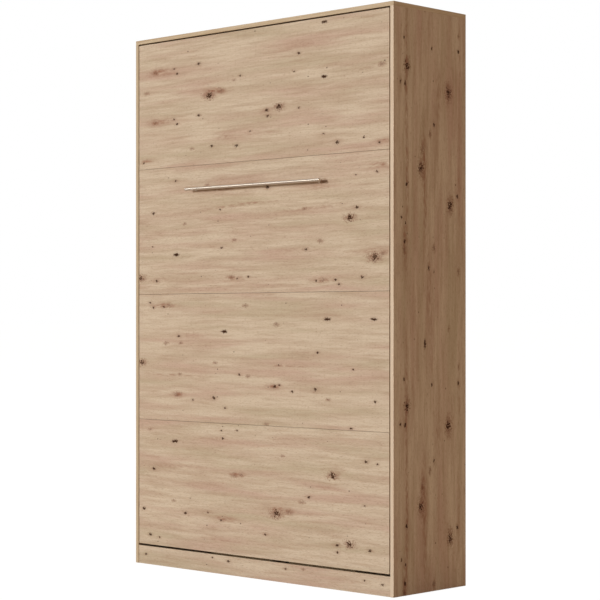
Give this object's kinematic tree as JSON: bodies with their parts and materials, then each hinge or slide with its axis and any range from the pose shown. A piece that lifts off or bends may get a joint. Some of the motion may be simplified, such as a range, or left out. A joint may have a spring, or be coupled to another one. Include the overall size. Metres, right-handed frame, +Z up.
{
  "type": "murphy wall bed",
  "caption": "Upright fold-down wall bed: a knotty oak board cabinet whose front swings down with a slatted steel bed frame and mattress, on side pivots, gas struts and hanging legs.",
  "frame": {"origin": "on the floor, under the middle of the closed bed's box (width, and depth from the handle bar to the wall)", "axes": "+Z up, the front faces -Y and the wall is at +Y, +X to the right seen from the front"},
  "size_m": [1.4, 0.454, 2.15],
  "materials": {
    "oak_board": "satin",
    "frame_steel": "satin",
    "satin_nickel": "satin",
    "zinc_steel": "satin",
    "birch_slat": "satin",
    "mattress_ticking": "matte",
    "strap_webbing": "matte",
    "strut_black": "gloss",
    "strut_chrome": "polished",
    "nylon": "satin"
  },
  "bodies": {
    "cabinet": {"left_side_panel": "oak_board", "right_side_panel": "oak_board", "top_panel": "oak_board", "plinth_panel": "oak_board", "base_rail": "oak_board", "rear_bottom_rail": "oak_board", "headboard_panel": "oak_board", "rear_top_rail": "oak_board", "wall_bracket_left": "zinc_steel", "wall_bracket_right": "zinc_steel", "cabinet_hinge_plate_left": "frame_steel", "cabinet_hinge_plate_right": "frame_steel", "pivot_pin_left": "zinc_steel", "pivot_pin_right": "zinc_steel", "cabinet_strut_stud_left": "zinc_steel", "cabinet_strut_stud_right": "zinc_steel"},
    "bed": {"front_panel_1": "oak_board", "front_panel_2": "oak_board", "front_panel_3": "oak_board", "front_panel_4": "oak_board", "handle_bar": "satin_nickel", "handle_post_left": "satin_nickel", "handle_post_right": "satin_nickel", "frame_side_rail_left": "frame_steel", "frame_side_rail_right": "frame_steel", "frame_head_rail": "frame_steel", "frame_foot_rail": "frame_steel", "frame_cross_rail_1": "frame_steel", "frame_cross_rail_2": "frame_steel", "slat_01": "birch_slat", "slat_02": "birch_slat", "slat_03": "birch_slat", "slat_04": "birch_slat", "slat_05": "birch_slat", "slat_06": "birch_slat", "slat_07": "birch_slat", "slat_08": "birch_slat", "slat_09": "birch_slat", "slat_10": "birch_slat", "slat_11": "birch_slat", "slat_12": "birch_slat", "mattress": "mattress_ticking", "mattress_strap_1": "strap_webbing", "mattress_strap_2": "strap_webbing", "bed_hinge_plate_left": "frame_steel", "bed_hinge_plate_right": "frame_steel", "pivot_bush_left": "nylon", "pivot_bush_right": "nylon", "bed_strut_stud_left": "zinc_steel", "bed_strut_stud_right": "zinc_steel", "leg_pivot_left": "zinc_steel", "leg_pivot_right": "zinc_steel"},
    "strut_cylinder_left": {"strut_cylinder_left": "strut_black"},
    "strut_cylinder_right": {"strut_cylinder_right": "strut_black"},
    "strut_rod_left": {"strut_rod_left": "strut_chrome"},
    "strut_rod_right": {"strut_rod_right": "strut_chrome"},
    "leg_left": {"leg_left": "frame_steel", "leg_glide_left": "nylon"},
    "leg_right": {"leg_right": "frame_steel", "leg_glide_right": "nylon"}
  },
  "joints": [
    {"name": "bed_fold", "type": "hinge", "parent": "cabinet", "child": "bed", "pos_m": [0, -0.124, 0.32], "axis": [1, 0, 0], "range_deg": [0, 90], "stiffness_Nm_per_rad": 185, "springref_deg": -39.53},
    {"name": "strut_swing_left", "type": "hinge", "parent": "cabinet", "child": "strut_cylinder_left", "pos_m": [-0.66, -0.034, 0.77], "axis": [1, 0, 0], "range_deg": [0, 15.66]},
    {"name": "strut_slide_left", "type": "slide", "parent": "strut_cylinder_left", "child": "strut_rod_left", "axis": [0, 0.0804, 0.9968], "range_m": [0, 0.2043]},
    {"name": "strut_swing_right", "type": "hinge", "parent": "cabinet", "child": "strut_cylinder_right", "pos_m": [0.66, -0.034, 0.77], "axis": [1, 0, 0], "range_deg": [0, 15.66]},
    {"name": "strut_slide_right", "type": "slide", "parent": "strut_cylinder_right", "child": "strut_rod_right", "axis": [0, 0.0804, 0.9968], "range_m": [0, 0.2043]},
    {"name": "leg_swing_left", "type": "hinge", "parent": "bed", "child": "leg_left", "pos_m": [-0.68175, -0.148, 2.055], "axis": [1, 0, 0], "range_deg": [-90, 0]},
    {"name": "leg_swing_right", "type": "hinge", "parent": "bed", "child": "leg_right", "pos_m": [0.68175, -0.148, 2.055], "axis": [1, 0, 0], "range_deg": [-90, 0]}
  ],
  "couplings": [
    {"joint": "strut_swing_left", "follows": "bed_fold", "ratio": 0.17391},
    {"joint": "strut_slide_left", "follows": "bed_fold", "m_per_rad": 0.13005},
    {"joint": "strut_swing_right", "follows": "bed_fold", "ratio": 0.17391},
    {"joint": "strut_slide_right", "follows": "bed_fold", "m_per_rad": 0.13005},
    {"joint": "leg_swing_left", "follows": "bed_fold", "ratio": -1},
    {"joint": "leg_swing_right", "follows": "bed_fold", "ratio": -1}
  ]
}
